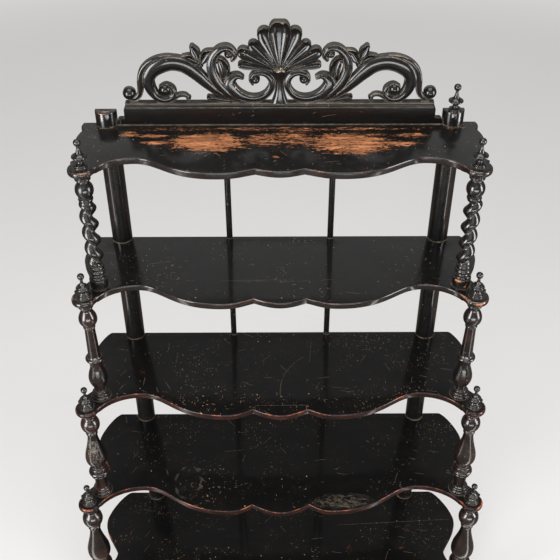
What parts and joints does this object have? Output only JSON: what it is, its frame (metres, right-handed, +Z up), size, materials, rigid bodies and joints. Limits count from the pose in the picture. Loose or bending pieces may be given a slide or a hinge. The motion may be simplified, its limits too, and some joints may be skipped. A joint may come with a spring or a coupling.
{
  "type": "etagere",
  "caption": "Free-standing display shelf unit with serpentine boards on turned front columns and half-round back posts, under a pierced carved crest.",
  "frame": {"origin": "middle of the outline's rectangle on the floor", "axes": "+Z up, +Y towards the wall behind, +X to the right of someone who faces the shelves"},
  "size_m": [1.0426, 0.37, 1.5455],
  "materials": {
    "ebonised_board": "black polish over wood, worn through to orange-brown in places",
    "ebonised_carving": "glossy black polish with dust in the hollows",
    "ebonised_turning": "glossy black polish, chipped at the edges",
    "umber_turning": "dark red-brown polish, rubbed",
    "bare_wood": "bare",
    "screw_steel": "dulled"
  },
  "bodies": {
    "root": {"shelf_1": "ebonised_board", "shelf_2": "ebonised_board", "shelf_3": "ebonised_board", "shelf_4": "ebonised_board", "shelf_5": "ebonised_board", "back_post_left": "ebonised_turning", "back_rod_left": "ebonised_turning", "foot_left": "ebonised_turning", "column_1_left": "umber_turning", "column_2_left": "umber_turning", "column_3_left": "umber_turning", "column_4_left": "umber_turning", "back_post_right": "ebonised_turning", "back_rod_right": "ebonised_turning", "foot_right": "ebonised_turning", "column_1_right": "umber_turning", "column_2_right": "umber_turning", "column_3_right": "umber_turning", "column_4_right": "umber_turning", "finial_1_left": "ebonised_turning", "finial_1_right": "ebonised_turning", "finial_2_left": "ebonised_turning", "finial_2_right": "ebonised_turning", "finial_3_left": "ebonised_turning", "finial_3_right": "ebonised_turning", "finial_4_left": "ebonised_turning", "finial_4_right": "ebonised_turning", "finial_5_left": "ebonised_turning", "finial_5_right": "ebonised_turning", "post_finial_right": "ebonised_turning", "gallery_board": "ebonised_board", "gallery_moulding": "ebonised_board", "crest_carving": "ebonised_carving", "crest_dowel": "bare_wood", "post_screw_1_left": "screw_steel", "post_screw_1_right": "screw_steel", "post_screw_2_left": "screw_steel", "post_screw_2_right": "screw_steel", "post_screw_3_left": "screw_steel", "post_screw_3_right": "screw_steel", "post_screw_4_left": "screw_steel", "post_screw_4_right": "screw_steel", "post_screw_5_left": "screw_steel", "post_screw_5_right": "screw_steel", "gallery_screw_1": "screw_steel", "gallery_screw_2": "screw_steel", "gallery_screw_3": "screw_steel"}
  },
  "joints": []
}
